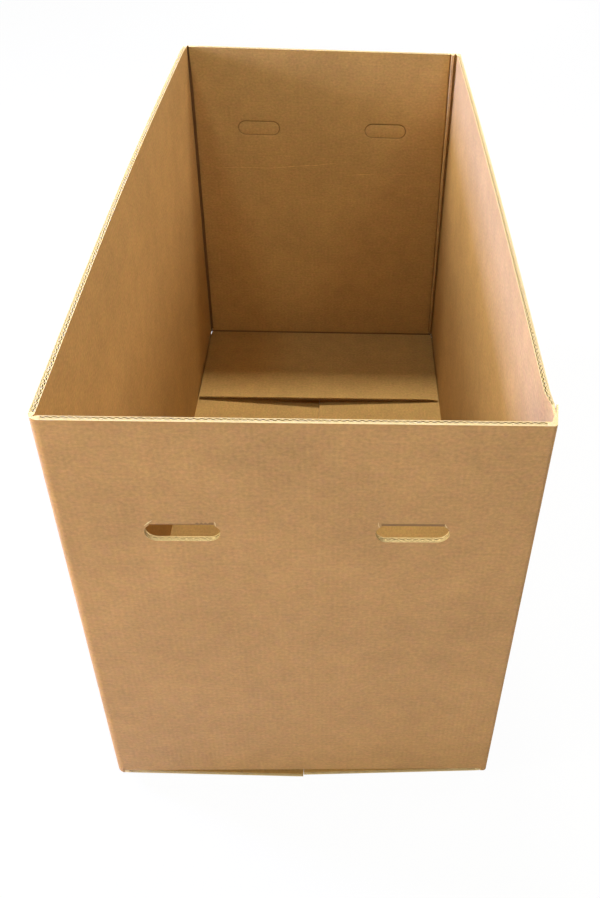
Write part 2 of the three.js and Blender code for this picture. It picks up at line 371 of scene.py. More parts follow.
class Piece:
    """Gathers the surfaces of one piece, each with its board coordinates and kind."""

    def __init__(self, name):
        self.name = name
        self.spots = []
        self.faces = []
        self.kinds = []
        self.shells = [0]

    def shell(self):
        """Starts a new closed shell, whose points don't weld to the ones before."""
        self.shells.append(len(self.spots))

    def grid(self, rows, kind):
        """Four-sided faces between rows of spots of equal length."""
        first = len(self.spots)
        width = len(rows[0])
        for row in rows:
            self.spots += row
        for i in range(len(rows) - 1):
            for j in range(width - 1):
                a = first + i * width + j
                self.faces.append((a, a + 1, a + width + 1, a + width))
                self.kinds.append(kind)

    def polygon(self, spots, kind):
        """One flat face."""
        first = len(self.spots)
        self.spots += spots
        self.faces.append(tuple(range(first, first + len(spots))))
        self.kinds.append(kind)

    def through(self, place, line, board):
        """The cut face along a line, through the whole board."""
        self.grid([[spot(place, u, v, t) for u, v in line] for t in (0, board)], CUT)

    def skin(self, place, t, loop, holes, step, kind):
        """A liner's surface inside a loop of board coordinates, with holes. Its kind may be a function
        of the middle of a triangle."""
        points = []
        edges = []
        for ring in [loop] + list(holes):
            first = len(points)
            points += [Vector((u * SKIN_SCALE, v * SKIN_SCALE)) for u, v in ring]
            edges += [(first + i, first + (i + 1) % len(ring)) for i in range(len(ring))]
        us = [u for u, v in loop]
        vs = [v for u, v in loop]
        rims = [corner for hole in holes for corner in hole]
        for u in spaced(min(us), max(us), max(2, round((max(us) - min(us)) / step)))[1:-1]:
            for v in spaced(min(vs), max(vs), max(2, round((max(vs) - min(vs)) / step)))[1:-1]:
                spare = (u, v)
                inside = within(spare, loop) and not any(within(spare, hole) for hole in holes)
                if not inside or near(spare, rims, step * CLEAR_OF_HOLES):
                    continue
                if not near(spare, loop, step * CLEAR_OF_LOOP):
                    points.append(Vector((u * SKIN_SCALE, v * SKIN_SCALE)))
        found, _, triangles, _, _, _ = delaunay_2d_cdt(points, edges, [], 0, 0.0001)
        first = len(self.spots)
        for point in found:
            u, v = point[0] / SKIN_SCALE, point[1] / SKIN_SCALE
            self.spots.append((*place(u, v, t), u, v))
        for triangle in triangles:
            middle = sum((found[i] for i in triangle), Vector((0, 0))) / 3 / SKIN_SCALE
            if within(middle, loop) and not any(within(middle, hole) for hole in holes):
                self.faces.append(tuple(first + i for i in triangle))
                self.kinds.append(kind(middle) if callable(kind) else kind)

    def ribbon(self, place, path, t, width, kind):
        """A low raised strip along a path of board coordinates, thin at its ends."""
        self.shell()
        count = len(path) - 1
        lines = []
        for i, (u, v, nu, nv) in enumerate(with_normals(path)):
            half = width / 2 * (0.25 + 0.75 * math.sin(math.pi * (0.08 + 0.84 * i / count)))
            half *= 0.85 + 0.3 * wander(u + v, 71, 0.006)
            corners = ((-half, -1), (-0.6 * half, 1), (0.6 * half, 1), (half, -1))
            lines.append([spot(place, u + nu * side, v + nv * side, t + rise * RIBBON_HEIGHT)
                          for side, rise in corners])
        rows = [list(row) for row in zip(*lines)]
        self.grid(rows, kind)
        self.grid([rows[-1], rows[0]], kind)
        for line in (lines[0], lines[-1]):
            self.polygon(line, kind)

    def build(self):
        """Makes the mesh object with the board's finishes."""
        mesh = bpy.data.meshes.new(self.name)
        mesh.from_pydata([spot[:3] for spot in self.spots], [], self.faces)
        mesh.polygons.foreach_set("material_index", self.kinds)
        layer = mesh.uv_layers.new(name="board")
        for loop in mesh.loops:
            layer.data[loop.index].uv = self.spots[loop.vertex_index][3:]
        shaped = bmesh.new()
        shaped.from_mesh(mesh)
        shaped.verts.ensure_lookup_table()
        ends = self.shells[1:] + [len(self.spots)]
        groups = [list(shaped.verts[a:b]) for a, b in zip(self.shells, ends)]
        for group in groups:
            bmesh.ops.remove_doubles(shaped, verts=group, dist=WELD)
        bmesh.ops.dissolve_degenerate(shaped, edges=shaped.edges, dist=WELD / 4)
        bmesh.ops.recalc_face_normals(shaped, faces=shaped.faces)
        shaped.to_mesh(mesh)
        shaped.free()
        for finish in board_finishes():
            mesh.materials.append(finish)
        mesh.shade_smooth()
        mesh.set_sharp_from_angle(angle=SHARP_ANGLE)
        piece = bpy.data.objects.new(self.name, mesh)
        bpy.context.scene.collection.objects.link(piece)
        return piece


def spot(place, u, v, t):
    """A point in space with its board coordinates."""
    return (*place(u, v, t), u, v)


def with_normals(path, closed=False):
    """A path of board coordinates with the direction into the board, which lies on its right."""
    result = []
    count = len(path)
    for i, (u, v) in enumerate(path):
        before = path[(i - 1) % count] if closed or i > 0 else path[i]
        after = path[(i + 1) % count] if closed or i < count - 1 else path[i]
        du, dv = after[0] - before[0], after[1] - before[1]
        size = math.hypot(du, dv)
        result.append((u, v, dv / size, -du / size))
    return result


def finer(path, step):
    """The same path with points at least every step along u."""
    result = [path[0]]
    for a, b in zip(path, path[1:]):
        count = max(1, math.ceil(abs(b[0] - a[0]) / step))
        for i in range(1, count + 1):
            result.append(tuple(p + (q - p) * i / count for p, q in zip(a, b)))
    return result


def cut_edge(piece, place, path, depths, makeup, floor=FLUTE_AND_SHADE, low=CUT):
    """The cut edge of the board along a path: both liners' edges, with a channel for each row of flutes
    between them. The channel under the outer liner is pressed shallow by the cutting. The kind of the
    deeper channel is dark in an open edge, and that of the paper in a torn one."""
    def row(inset, t):
        return [spot(place, u + nu * inset, v + nv * inset, t) for u, v, nu, nv in path]

    board = makeup.thickness
    shallow, deep = depths
    rows = [row(0, 0), row(0, makeup.liner), row(shallow, makeup.liner), row(shallow, makeup.middle),
            row(deep, makeup.middle), row(deep, board - makeup.liner), row(0, board - makeup.liner),
            row(0, board)]
    piece.grid(rows[0:2], low)
    piece.grid(rows[1:4], low)
    piece.grid(rows[3:7], floor)
    piece.grid(rows[6:8], CUT)
    for end in (0, -1):
        piece.polygon([line[end] for line in rows[1:7]], CUT)


def fluted_papers(piece, place, path, depths, makeup, turns=False, first=0.0):
    """The papers seen between the liners at a cut edge: two fluted mediums and the middle liner."""
    low = makeup.liner
    high = makeup.thickness - makeup.liner
    half = makeup.medium / 2
    middle = makeup.middle
    layers = [
        (low, middle - half, makeup.outer_pitch, 1.7, depths[0]),
        (middle + half, high, makeup.inner_pitch, 4.1, depths[1]),
        (middle, middle, None, 0.0, depths[0]),
    ]
    for bottom, top, pitch, seed, depth in layers:
        deepest = depth - PAPERS_SHORT
        insets = spaced(first, deepest, 6) if turns else [first, deepest]
        along = finer(path, (pitch or 0.08) / WAVE_STEPS)

        def height(u):
            if pitch is None:
                return middle + 0.00008 * wander(u, 3, 0.02)
            crush = 0.92 + 0.08 * wander(u, seed, 0.03)
            swing = ((top - bottom) / 2 - half) * crush
            phase = 2 * math.pi * u / pitch + 0.3 * wander(u, seed + 5, 0.08)
            return (bottom + top) / 2 + swing * math.sin(phase)

        def row(inset, offset):
            return [spot(place, u + nu * inset, v + nv * inset, height(u + nu * inset) + offset)
                    for u, v, nu, nv in along]

        piece.shell()
        down = [row(inset, -half) for inset in reversed(insets)]
        back = [row(inset, half) for inset in insets]
        piece.grid(down, FLUTE_AND_SHADE)
        piece.grid([down[-1], back[0]], CUT)
        piece.grid(back, FLUTE_AND_SHADE)
        piece.grid([back[-1], down[0]], FLUTE_AND_SHADE)
        for end in (0, -1):
            piece.polygon([line[end] for line in down + back], CUT)


def sweep(piece, posts, levels, kind):
    """A standing surface through posts, each a function of the height."""
    tops = [post(levels[-1]) for post in posts]
    run = [tops[0][1]]
    for a, b in zip(tops, tops[1:]):
        run.append(run[-1] + math.dist(a, b))
    piece.grid([[(*post(z), z, u, z) for post, u in zip(posts, run)] for z in levels], kind)


def cap(piece, outside, inside, z):
    """A cut face between two lines of posts at one height."""
    piece.polygon([(*post(z), z, *post(z)) for post in outside + inside[::-1]], CUT)


def stadium(centre_u, centre_v, width, height, offset=0.0, steps=12):
    """The closed line of a slot with round ends, made larger or smaller by an offset."""
    radius = height / 2 + offset
    reach = (width - height) / 2
    right = arc((centre_u + reach, centre_v), radius, -90, 90, steps)
    left = arc((centre_u - reach, centre_v), radius, 90, 270, steps)
    top = spaced(centre_u + reach, centre_u - reach, 12)[1:-1]
    line = right + [(u, centre_v + radius) for u in top] + left
    return line + [(u, centre_v - radius) for u in top[::-1]]


def open_hole_path(layout, u0):
    """The cut line of an opened hand hole, from its hinge down one end and up the other."""
    sizes = layout.sizes
    radius = sizes.hole_height / 2
    reach = (sizes.hole_width - sizes.hole_height) / 2
    swing = math.degrees(math.acos((TAB_HINGE_HALF - reach) / radius))
    left = arc((u0 - reach, layout.hole_z), radius, 180 - swing, 270, 14)
    right = arc((u0 + reach, layout.hole_z), radius, -90, swing, 14)
    bottom = spaced(left[-1][0], right[0][0], 12)[1:-1]
    path = [(u0 - TAB_HINGE_HALF, layout.hinge_z)] + left
    path += [(u, layout.hole_z - radius) for u in bottom]
    return path + right + [(u0 + TAB_HINGE_HALF, layout.hinge_z)]


def rectangle(us, vs):
    """A closed loop round a rectangle, anticlockwise, through the given places on its sides."""
    loop = [(u, vs[0]) for u in us]
    loop += [(us[-1], v) for v in vs[1:]]
    loop += [(u, vs[-1]) for u in us[-2::-1]]
    loop += [(us[0], v) for v in vs[-2:0:-1]]
    return loop


class Corners:
    """Posts of the four corner folds, outside and inside, from one panel's flat to the next."""

    def __init__(self, layout):
        self.layout = layout
        half_l, half_w = layout.half_length, layout.half_width
        inner_x, inner_y = layout.inner_x, layout.inner_y
        fixed, held = self.fixed, self.held
        # Front left: a wide round fold, with a slit along the inner crease
        fold = arc((FRONT_LEFT_FOLD - half_w, FRONT_LEFT_FOLD - half_l), FRONT_LEFT_FOLD, 180, 270, 10)
        self.front_left_outer = [fixed(x, y) for x, y in fold] + [held(FRONT_LEFT_X, -half_l)]
        self.front_left_inner = [fixed(-inner_x, -layout.nose_y), fixed(-inner_x, 0.0015 - inner_y),
                                 self.slit, held(SLIT_END_X, -inner_y), held(FRONT_LEFT_X, -inner_y)]
        # Front right: the lap runs back outside the crushed wall
        fold = arc((half_w - PLAIN_FOLD, PLAIN_FOLD - half_l), PLAIN_FOLD, 270, 360)
        crushed = inner_x + CRUSHED_OFFSET + CRUSHED_WALL
        self.front_right_outer = [held(FRONT_RIGHT_X, -half_l)] + [fixed(x, y) for x, y in fold]
        self.front_right_outer += [self.lap(along, 0.0) for along in (0.45, 0.75, 1.0)]
        self.front_right_outer += [self.lap(1.0, LAP_THICKNESS), fixed(crushed - 0.001, LAP_GLUED - half_l),
                                   fixed(crushed, layout.lap_end)]
        self.front_right_inner = [held(FRONT_RIGHT_X, -inner_y), fixed(inner_x + 0.001, -inner_y),
                                  fixed(inner_x + CRUSHED_OFFSET, 2 * CRUSHED_OFFSET - inner_y),
                                  fixed(inner_x + CRUSHED_OFFSET, layout.lap_end)]
        # Rear right: the inner liner is buckled into a ridge between two grooves
        fold = arc((half_w - PLAIN_FOLD, half_l - PLAIN_FOLD), PLAIN_FOLD, 0, 90)
        self.rear_right_outer = [fixed(half_w, layout.nose_y)] + [fixed(x, y) for x, y in fold]
        self.rear_right_outer += [held(REAR_RIGHT_X, half_l)]
        ridge = ((-0.0010, -0.0004, 0.2), (-0.0024, 0.0050, 0.5), (-0.0044, 0.0040, 0.8),
                 (-0.0066, -0.0036, 1.2), (-0.0104, -0.0030, 1.4), (-0.0128, 0.0046, 1.0),
                 (-0.0146, 0.0006, 0.5))
        self.rear_right_inner = [fixed(inner_x, layout.nose_y)]
        self.rear_right_inner += [self.buckle(x, y, sway, 11 + i) for i, (x, y, sway) in enumerate(ridge)]
        self.rear_right_inner += [held(REAR_RIGHT_X, inner_y)]
        # Rear left: a groove along the inner corner that widens below the bent rim
        fold = arc((PLAIN_FOLD - half_w, half_l - PLAIN_FOLD), PLAIN_FOLD, 90, 180)
        self.rear_left_outer = [held(REAR_LEFT_X, half_l)] + [self.bent(x, y) for x, y in fold]
        self.rear_left_outer += [fixed(-half_w, layout.nose_y)]
        sides = ((1.0, 0.0008, 0.0), (1.0, 0.0, 0.0058), (0.0, 0.0, 0.0058), (-0.1, 0.0, 0.0))
        self.rear_left_groove = [self.groove(share, away, deep) for share, away, deep in sides]
        self.rear_left_inner = [held(REAR_LEFT_X, inner_y)] + self.rear_left_groove
        self.rear_left_inner += [fixed(-inner_x, layout.nose_y)]

    def fixed(self, x, y):
        """A post at one place, moved by the bow if it stands in a long wall."""
        return lambda z: (x + self.layout.shift(x, y, z), y)

    def bent(self, x, y):
        """A post of the rear left fold, which leans in with the bent end of the left wall."""
        return lambda z: (x + self.layout.shift(-self.layout.half_width, y, z), y)

    def slotted(self, z):
        """True at heights below the end flaps' folds, where the corner slots are open."""
        return z < self.layout.fold_top - FOLD_STEP / 2

    def held(self, x, y):
        """A post that stands beside the end flap's slot below the fold."""
        def post(z):
            if self.slotted(z):
                return (math.copysign(max(abs(x), SLOT_X), x), y)
            return (x, y)
        return post

    def slit(self, z):
        """The post at the bottom of the front left slit, which wanders in depth."""
        deep = 0.0026 + 0.0005 * wander(z, 21, 0.04)
        return (-self.layout.inner_x - deep, -self.layout.inner_y - 0.6 * deep)

    def lap(self, along, inward):
        """A post of the lap, which stands off the wall most at the rim and the bottom."""
        def post(z):
            rise = (z - self.layout.bottom) / (self.layout.rim - self.layout.bottom)
            open_share = 0.45 + 0.55 * max(rise ** 6, (1 - rise) ** 8) + 0.06 * wander(z, 22, 0.09)
            reach = (LAP_LENGTH - PLAIN_FOLD) * along
            y = -self.layout.half_length + PLAIN_FOLD + reach
            flare = LAP_LEAST_FLARE + (LAP_FLARE - LAP_LEAST_FLARE) * min(1.0, open_share)
            root = LAP_GLUED - PLAIN_FOLD
            lift = max(0.0, reach - root) / (LAP_LENGTH - LAP_GLUED)
            rest = LAP_STAND * min(1.0, reach / root)
            return (self.layout.half_width + max(rest, rest + (flare - rest) * lift) - inward, y)
        return post

    def buckle(self, x, y, sway, seed):
        """A post of the buckled liner, which wanders from top to bottom."""
        def post(z):
            fall = (self.layout.rim - z) / (self.layout.rim - self.layout.bottom)
            slim = 1.0 - 0.28 * fall
            dx = 0.0006 * sway * wander(z, seed, 0.035) + 0.0007 * sway * wander(z, 30, 0.12)
            dy = 0.0005 * sway * wander(z, seed + 9, 0.03)
            low = self.layout.inner_x + x * slim + dx
            if self.slotted(z):
                low = max(low, SLOT_X)
            return (low, self.layout.inner_y + y + dy)
        return post

    def groove(self, share, away, deep):
        """A post of the rear left groove, which is narrow at the rim."""
        def post(z):
            fall = min(1.0, (self.layout.rim - z) / GROOVE_RUN)
            width = GROOVE_WIDTH + GROOVE_WIDENING * fall + 0.0004 * wander(z, 41, 0.06)
            bend = self.layout.shift(-self.layout.half_width, self.layout.inner_y, z)
            x = -self.layout.inner_x + bend + share * width + away
            if self.slotted(z):
                x = min(x, -SLOT_X)
            return (x, self.layout.inner_y + deep)
        return post


def standing(place, ys, t):
    """Posts of a long wall's face."""
    return [lambda z, y=y: place(y, z, t)[:2] for y in ys]


class BOX_OT_walls(bpy.types.Operator):
    """Build the four walls, with their corner folds, rim and hand hole cuts"""
    bl_idname = "moving_box.walls"
    bl_label = "Walls"

    def execute(self, context):
        layout = layout_of(context)
        corners = Corners(layout)
        walls = Piece("carton_walls")
        board = layout.board
        low_levels = layout.corner_levels
        left_outer = standing(layout.left, layout.left_ys[::-1], 0)
        left_inner = standing(layout.left, layout.left_ys[::-1], board)
        right_outer = standing(layout.right, layout.right_ys, 0)
        right_inner = standing(layout.right, layout.right_ys, board)
        # Long walls with the corners, from the front panel's flat to the rear panel's
        right_side = corners.front_right_outer + right_outer[1:] + corners.rear_right_outer[1:]
        sweep(walls, right_side, low_levels, OUTER)
        left_side = corners.rear_left_outer + left_outer[1:] + corners.front_left_outer[1:]
        sweep(walls, left_side, low_levels, OUTER)
        right_in = corners.front_right_inner + right_inner[1:] + corners.rear_right_inner[1:]
        sweep(walls, right_in, low_levels, INNER)
        left_in = corners.rear_left_inner + left_inner[1:] + corners.front_left_inner[1:]
        groove = corners.rear_left_groove
        sweep(walls, left_in[:2], low_levels, INNER)
        # The groove's faces take the dark fluted finish as painted shade in the corner crease
        sweep(walls, groove, low_levels, FLUTE_AND_SHADE)
        sweep(walls, left_in[len(groove):], low_levels, INNER)
        # Slot sides and the bottom edges of corners and walls
        for outside, inside in ((right_side, right_in), (left_side, left_in)):
            for end in (0, -1):
                ends = [outside[end], inside[end]]
                walls.grid([[(*post(z), z, 0, z) for post in ends] for z in low_levels[:2]], CUT)
        for z in (layout.rim, layout.bottom):
            cap(walls, corners.front_left_outer, corners.front_left_inner, z)
            cap(walls, corners.front_right_outer, corners.front_right_inner, z)
            cap(walls, corners.rear_right_outer, corners.rear_right_inner, z)
            cap(walls, corners.rear_left_outer, corners.rear_left_inner, z)
        for outside, inside in ((left_outer, left_inner), (right_outer, right_inner)):
            walls.grid([[(*post(layout.bottom), layout.bottom, 0, 0) for post in side]
                        for side in (outside, inside)], CUT)
        # End panels
        front_holes = [open_hole_path(layout, u0) for u0 in layout.hole_middles]
        loop = rectangle(layout.front_xs, layout.levels)
        walls.skin(layout.front, 0, loop, front_holes, PANEL_STEP, OUTER)
        walls.skin(layout.front, board, loop, front_holes, PANEL_STEP, INNER)
        loop = rectangle(layout.rear_xs, layout.levels)
        cuts = [rear_cut_loops(layout, u0)[0] for u0 in layout.hole_middles]
        walls.skin(layout.rear, 0, loop, cuts, PANEL_STEP, OUTER)
        walls.skin(layout.rear, board, loop, cuts, REAR_PANEL_STEP, INNER)
        for line, width in wrinkles():
            walls.ribbon(layout.rear, line, board, width, WORN)
        for xs, place in ((layout.front_xs, layout.front), (layout.rear_xs, layout.rear)):
            walls.through(place, [(x, layout.fold_top) for x in xs], board)
        for u0 in layout.hole_middles:
            rear_cut(walls, layout, u0)
        for path in front_holes:
            cut_edge(walls, layout.front, with_normals(path), HOLE_DEPTHS, layout.makeup, CUT)
            walls.through(layout.front, (path[0], path[-1]), board)
        for place, values, depths in rim_stretches(layout):
            cut_edge(walls, place, [(u, layout.rim, 0.0, -1.0) for u in values], depths, layout.makeup)
        for _, side, pivot, _ in layout.folds:
            crease_nose(walls, layout, side, pivot)
        body = walls.build()
        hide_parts("carton_body")
        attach(body, "carton")
        return {"FINISHED"}


def rim_stretches(layout):
    """The straight stretches of the rim, each with its place function, points and channel depths."""
    return [
        (layout.front, layout.front_xs, FRONT_RIM_DEPTHS),
        (layout.right, layout.right_ys, RIM_DEPTHS),
        (layout.rear, layout.rear_xs, RIM_DEPTHS),
        (layout.left, layout.left_ys, RIM_DEPTHS),
    ]


def crease_nose(piece, layout, side, pivot):
    """The rounded lower edge of a long wall, which its flap turns about."""
    x, z = pivot.x, pivot.z
    profile = [(x + side * layout.crease, layout.bottom)]
    start = 0 if side > 0 else 180
    stop = -180 if side > 0 else 360
    profile += arc((x, z), layout.crease, start, stop, 10)
    profile += [(x - side * layout.crease, layout.bottom)]
    ys = spaced(-layout.nose_y, layout.nose_y, 20)
    half = len(profile) // 2
    piece.shell()
    parts = ((profile[:half + 1], OUTER), (profile[half:], INNER), ((profile[-1], profile[0]), CUT))
    for line, kind in parts:
        piece.grid([[(px, y, pz, y, pz) for y in ys] for px, pz in line], kind)
    for y in (ys[0], ys[-1]):
        piece.polygon([(px, y, pz, y, pz) for px, pz in profile], CUT)


def rear_cut_loops(layout, u0):
    """Loops round a rear tab from the panel's face, over the pressed bevel, to the tab's face."""
    sizes = layout.sizes
    offsets = (*REAR_BEVEL, 0.0, 0.0, -REAR_KERF, -REAR_KERF, *[-REAR_KERF - d for d in REAR_TAB_BEVEL])
    height = sizes.hole_height + REAR_TAB_TALLER
    return [stadium(u0, layout.hole_z + REAR_TAB_RISE, sizes.hole_width, height, offset)
            for offset in offsets]


def rear_cut(piece, layout, u0):
    """The die-cut line round a rear tab that is still in its hole, and the tab's own faces."""
    loops = rear_cut_loops(layout, u0)
    top = layout.hole_z + REAR_TAB_RISE + (layout.sizes.hole_height + REAR_TAB_TALLER) / 2

    def depths(v):
        deep = REAR_HINGE_DEPTH if v > top - REAR_HINGE_BAND else REAR_CUT_DEPTH
        return (0.0, *REAR_BEVEL_DEPTHS, deep, deep, *REAR_TAB_DEPTHS, 0.0)

    for face, sign, kind in ((layout.board, -1, INNER), (0.0, 1, OUTER)):
        rows = []
        for i, loop in enumerate(loops):
            closed = loop + loop[:1]
            rows.append([spot(layout.rear, u, v, face + sign * depths(v)[i]) for u, v in closed])
        piece.grid(rows[0:3], kind)
        # The cut's bevel bottoms, walls and floor take the dark fluted finish: partly the board's inside,
        # partly painted shade in the narrow cut
        piece.grid(rows[2:6], FLUTE_AND_SHADE)
        piece.grid(rows[5:], kind)
        piece.skin(layout.rear, face, loops[-1], [], REAR_TAB_STEP, kind)


def wrinkles():
    """Faint wrinkles and scuffs across the rear panel's inner face: their lines and widths."""
    lines = [
        ([(-0.227, 0.4622), (-0.176, 0.4655), (-0.112, 0.4642)], 0.0009),
        ([(-0.118, 0.4640), (-0.048, 0.4718), (-0.004, 0.4740)], 0.0013),
        ([(-0.030, 0.4722), (0.016, 0.4783), (0.030, 0.4800)], 0.0009),
        ([(0.040, 0.4830), (0.070, 0.4845)], 0.0010),
        ([(0.050, 0.4525), (0.124, 0.4577)], 0.0013),
        ([(0.150, 0.4568), (0.215, 0.4578)], 0.0009),
    ]
    result = []
    for line, width in lines:
        spine = []
        for (au, av), (bu, bv) in zip(line, line[1:]):
            for i in range(12):
                share = i / 12
                u = au + (bu - au) * share
                spine.append((u, av + (bv - av) * share + 0.0009 * wander(u, 51, 0.02)))
        result.append((spine, width))
    return result


class BOX_OT_rim_flutes(bpy.types.Operator):
    """Build the fluted papers seen in the rim and round the open hand holes"""
    bl_idname = "moving_box.rim_flutes"
    bl_label = "Rim and hand hole flutes"

    def execute(self, context):
        layout = layout_of(context)
        rim = Piece("rim_flutes")
        for place, values, depths in rim_stretches(layout):
            path = [(u, layout.rim - RIM_PAPERS_DROP, 0.0, -1.0) for u in values]
            fluted_papers(rim, place, path, depths, layout.makeup)
        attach(rim.build(), "carton")
        holes = Piece("hand_hole_flutes")
        for u0 in layout.hole_middles:
            path = with_normals(open_hole_path(layout, u0))
            fluted_papers(holes, layout.front, path, HOLE_DEPTHS, layout.makeup, turns=True)
        for path, width in torn_nicks(layout):
            holes.ribbon(layout.front, path, 0.0, width, CUT)
        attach(holes.build(), "carton")
        return {"FINISHED"}


def torn_nicks(layout):
    """Torn liner at the ends of the front tabs' fold lines: lines and widths."""
    left, right = layout.hole_middles
    low, high = layout.hole_z + 0.0114, layout.hole_z + 0.0204
    fold = layout.hinge_z + 0.0012
    return [
        ([(left - 0.0416, low), (left - 0.0368, low + 0.0052), (left - 0.0323, high)], 0.0020),
        ([(left + 0.0374, fold), (left + 0.0382, low + 0.0040), (left + 0.0384, low)], 0.0018),
        ([(right - 0.0402, high - 0.0010), (right - 0.0396, low + 0.0030), (right - 0.0388, low)], 0.0014),
        ([(right + 0.0362, high - 0.0030), (right + 0.0378, low + 0.0020), (right + 0.0392, low)], 0.0012),
    ]


class BOX_OT_tabs(bpy.types.Operator):
    """Build the two front hand hole tabs, rolled inwards and up behind the panel"""
    bl_idname = "moving_box.tabs"
    bl_label = "Hand hole tabs"

    def execute(self, context):
        layout = layout_of(context)
        place = tab_place(layout)
        for name, u0 in zip(("left", "right"), layout.hole_middles):
            tab = Piece(f"hand_hole_tab_{name}")
            outline = tab_outline(layout, u0)
            hinge = [(u, 0.0) for u in spaced(outline[-1][0], outline[0][0], 16)]
            loop = outline + hinge[1:-1]
            tab.skin(place, 0, loop, [], TAB_STEP, tab_kind)
            tab.skin(place, layout.board, loop, [], TAB_STEP, INNER)
            tab.through(place, outline, layout.board)
            tab.through(place, hinge, layout.board)
            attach(tab.build(), "carton")
        return {"FINISHED"}


def tab_kind(middle):
    """The kind of a front tab's outer face. It takes the dark fluted finish as painted shade where it rolls
    under, least at the left end of the left tab."""
    dark, pale, end = TAB_SHADE
    share = min(1.0, max(0.0, (middle[0] - TAB_SHADE_START) / TAB_SHADE_RUN))
    start = pale + (dark - pale) * share
    return FLUTE_AND_SHADE if start < middle[1] < end else OUTER


def tab_outline(layout, u0):
    """A front tab's cut outline, from its hinge down the left side and up the right."""
    radius = layout.sizes.hole_height / 2 - TAB_KERF
    reach = (layout.sizes.hole_width - layout.sizes.hole_height) / 2
    full = TAB_HINGE_RISE + layout.sizes.hole_height / 2
    start = math.degrees(math.acos((TAB_HINGE_HALF - TAB_KERF - reach) / radius))
    right = [(u0 + x, full - y) for x, y in arc((reach, 0), radius, start, -90, 16)]
    left = [(2 * u0 - u, v) for u, v in right[::-1]]
    side = spaced(0.0, right[0][1], 5)[:-1]
    outline = [(u0 + TAB_HINGE_HALF, v) for v in side] + right
    outline += [(u, right[-1][1]) for u in spaced(right[-1][0], left[0][0], 20)[1:-1]]
    return outline + left + [(u0 - TAB_HINGE_HALF, v) for v in side[::-1]]


def tab_place(layout):
    """Where a point of a front tab lies: down its length v, round the roll and then straight."""
    centre_y = TAB_INNER_RADIUS - layout.inner_y
    roll = (TAB_INNER_RADIUS + layout.board / 2) * TAB_FOLD
    pressed = 0.0002

    def place(u, v, t):
        turn = math.pi + TAB_FOLD * min(1.0, v / roll)
        beyond = max(0.0, v - roll)
        radius = TAB_INNER_RADIUS + layout.board - t
        if beyond:
            radius = TAB_INNER_RADIUS + pressed + (layout.board - t) * (1 - 2 * pressed / layout.board)
        y = centre_y + radius * math.cos(turn) + beyond * math.sin(TAB_FOLD)
        z = layout.hinge_z + radius * math.sin(turn) - beyond * math.cos(TAB_FOLD)
        return (u, y, z)
    return place


class BOX_OT_end_flaps(bpy.types.Operator):
    """Build the two end flaps that lie on the long flaps, each with its fold"""
    bl_idname = "moving_box.end_flaps"
    bl_label = "End flaps"

    def execute(self, context):
        layout = layout_of(context)
        for name, side in (("end_flap_front", -1), ("end_flap_rear", 1)):
            flap = Piece(name)
            place = end_flap_place(layout, side)
            start = CRUSH_LENGTH + layout.board
            xs = spaced(-END_FLAP_HALF, END_FLAP_HALF, 22)
            vs = [start] + spaced(0.03, layout.sizes.flap_depth, 12)
            loop = rectangle(xs, vs)
            flap.skin(place, 0, loop, [], PANEL_STEP, OUTER)
            flap.skin(place, layout.board, loop, [], PANEL_STEP, INNER)
            edge = [(xs[-1], v) for v in vs] + [(x, vs[-1]) for x in xs[-2::-1]]
            edge += [(xs[0], v) for v in vs[-2::-1]]
            path = with_normals(edge[::-1])
            # Painted shade: along the flap's edges, the lower liner's cut edge and the channel above it take
            # the dark fluted finish
            cut_edge(flap, place, path, EDGE_DEPTHS, layout.makeup, FLUTE_AND_SHADE, FLUTE_AND_SHADE)
            outer, inner = end_fold(layout)
            outside, inside = ([[(x, side * y, z, x, -i * 0.003) for x in xs]
                                for i, (y, z) in enumerate(line)] for line in (outer, inner))
            flap.grid(outside, OUTER)
            flap.grid(inside[:2], INNER)
            # Painted shade: the crushed crease inside the fold takes the dark fluted finish
            flap.grid(inside[1:4], FLUTE_AND_SHADE)
            flap.grid(inside[3:], INNER)
            flap.grid([outside[0], inside[0]], CUT)
            for x in (xs[0], xs[-1]):
                flap.polygon([(x, side * y, z, y, z) for y, z in outer + inner[::-1]], CUT)
            fluted_papers(flap, place, path, EDGE_DEPTHS, layout.makeup, first=EDGE_PAPERS_START)
            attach(flap.build(), "carton")
        return {"FINISHED"}


def end_flap_place(layout, side):
    """Where a point of an end flap lies. Its rear free corner on the right is bent down a little."""
    def place(u, v, t):
        dip = 0.0
        if side > 0:
            free = max(0.0, (v - DIP_START_V) / (layout.sizes.flap_depth - DIP_START_V))
            dip = DIP * max(0.0, (u - DIP_START_X) / DIP_WIDTH) ** 1.6 * free
        wave = 0.0003 * wander(u, 61 + side, 0.11) * min(1.0, v / 0.1)
        z = layout.bottom + END_FLAP_LIFT + wave + t - dip
        return (u, side * (layout.half_length - v), z)
    return place


def end_fold(layout):
    """Profiles of an end flap's fold, outside and inside, in distance from the middle and height."""
    centre = (layout.half_length - END_FOLD, layout.bottom + END_FOLD)
    base = layout.bottom + END_FLAP_LIFT
    top = base + layout.board
    outer = [(layout.half_length, layout.fold_top)]
    outer += [(y, max(z, base)) for y, z in arc(centre, END_FOLD, 0, -90, 10)]
    outer += [(layout.half_length - layout.board - CRUSH_LENGTH, base)]
    inner = [
        (layout.inner_y, layout.fold_top),
        (layout.inner_y + 0.0002, layout.bottom + END_FOLD),
        (layout.inner_y + 0.0008, top - 2.2 * CRUSH_DEPTH),
        (layout.inner_y - 0.0012, top - 2.3 * CRUSH_DEPTH),
        (layout.inner_y - 0.0022, top - 0.7 * CRUSH_DEPTH),
        (layout.inner_y - CRUSH_LENGTH, top),
    ]
    return outer, inner


